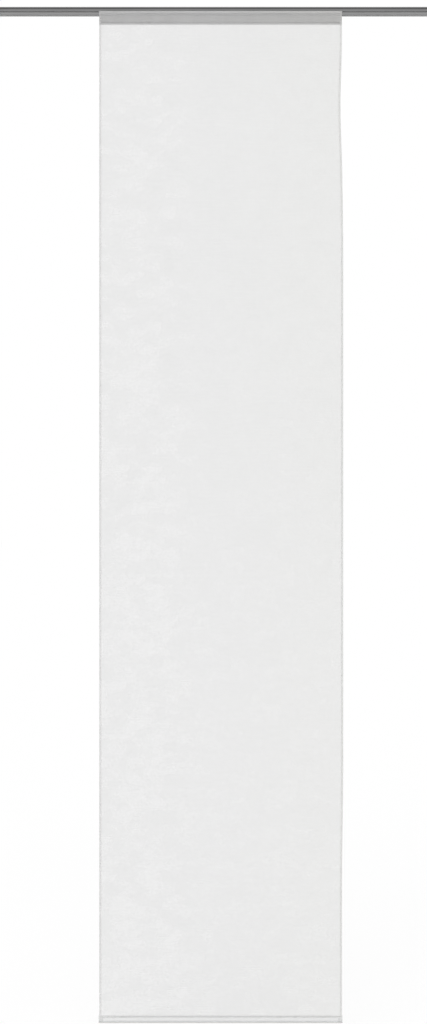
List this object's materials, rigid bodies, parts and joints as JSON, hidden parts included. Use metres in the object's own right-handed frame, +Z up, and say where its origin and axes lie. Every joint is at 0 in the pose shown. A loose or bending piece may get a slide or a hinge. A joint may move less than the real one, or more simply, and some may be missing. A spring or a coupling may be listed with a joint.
{
  "type": "sliding panel curtain",
  "caption": "Flat semi-transparent fabric panel with a weight bar, hung by hook and loop tape from a carrier that slides in one channel of a flat ceiling rail.",
  "frame": {"origin": "middle of the rail's top face, which lies against the ceiling", "axes": "+X along the rail to the viewer's right, -Y towards the viewer who faces the panel, +Z up"},
  "size_m": [1.2042, 0.0478, 2.5098],
  "materials": {
    "rail_aluminium": "satin",
    "carrier_aluminium": "satin",
    "cap_plastic": "satin",
    "screw_steel": "satin",
    "glider_plastic": "satin",
    "hook_tape": "matte",
    "loop_tape": "matte",
    "panel_cloth": "matte",
    "bar_plastic": "satin"
  },
  "bodies": {
    "track": {"track_rail": "rail_aluminium", "rail_end_cap_left": "cap_plastic", "rail_end_cap_right": "cap_plastic", "end_stop_left": "cap_plastic", "end_stop_right": "cap_plastic", "end_stop_screw_left": "screw_steel", "end_stop_screw_right": "screw_steel"},
    "panel": {"carrier_profile": "carrier_aluminium", "carrier_end_cap_left": "cap_plastic", "carrier_end_cap_right": "cap_plastic", "glider_1": "glider_plastic", "glider_2": "glider_plastic", "glider_3": "glider_plastic", "glider_4": "glider_plastic", "keder_rod": "glider_plastic", "hook_tape": "hook_tape", "loop_tape": "loop_tape", "panel_fabric": "panel_cloth", "weight_bar": "bar_plastic", "weight_bar_end_cap_left": "bar_plastic", "weight_bar_end_cap_right": "bar_plastic"}
  },
  "joints": [
    {"name": "panel_slide", "type": "slide", "parent": "track", "child": "panel", "axis": [1, 0, 0], "range_m": [-0.291, 0.291]}
  ]
}
